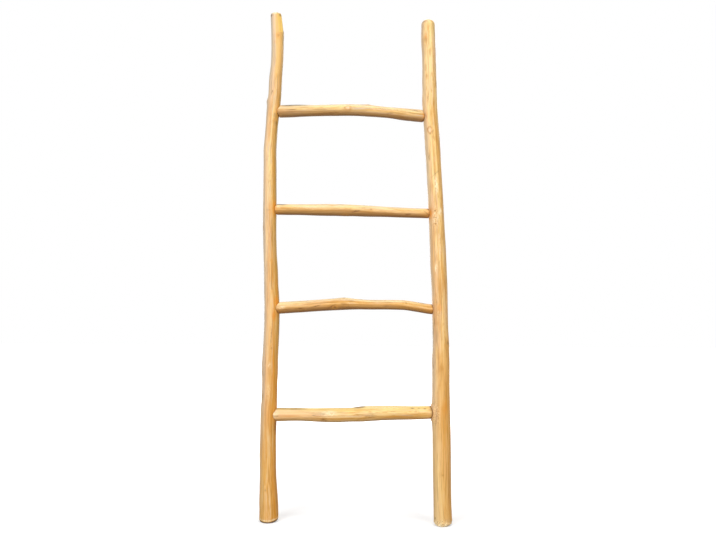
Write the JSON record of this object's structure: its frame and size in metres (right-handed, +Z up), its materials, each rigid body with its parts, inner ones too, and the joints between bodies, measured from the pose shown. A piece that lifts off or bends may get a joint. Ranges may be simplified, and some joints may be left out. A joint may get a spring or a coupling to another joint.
{
  "type": "decorative ladder",
  "caption": "Rustic decorative ladder of peeled branches: crooked round stiles joined by hollowed, tenoned rungs, leaned on a wall to hang throws or towels.",
  "frame": {"origin": "on the floor, midway between the feet of the stiles", "axes": "+Z up along the ladder, +X from the left stile to the right one seen from the front, +Y to the back"},
  "size_m": [0.5664, 0.057, 1.5],
  "materials": {
    "stile_wood": "peeled branch, smoothed and left bare",
    "rung_wood": "peeled branch, smoothed and left bare",
    "peg_wood": "sawn round peg"
  },
  "bodies": {
    "root": {"left_stile": "stile_wood", "right_stile": "stile_wood", "bottom_rung": "rung_wood", "lower_rung": "rung_wood", "upper_rung": "rung_wood", "top_rung": "rung_wood", "bottom_rung_left_peg": "peg_wood", "bottom_rung_right_peg": "peg_wood", "lower_rung_left_peg": "peg_wood", "lower_rung_right_peg": "peg_wood", "upper_rung_left_peg": "peg_wood", "upper_rung_right_peg": "peg_wood", "top_rung_left_peg": "peg_wood", "top_rung_right_peg": "peg_wood"}
  },
  "joints": []
}
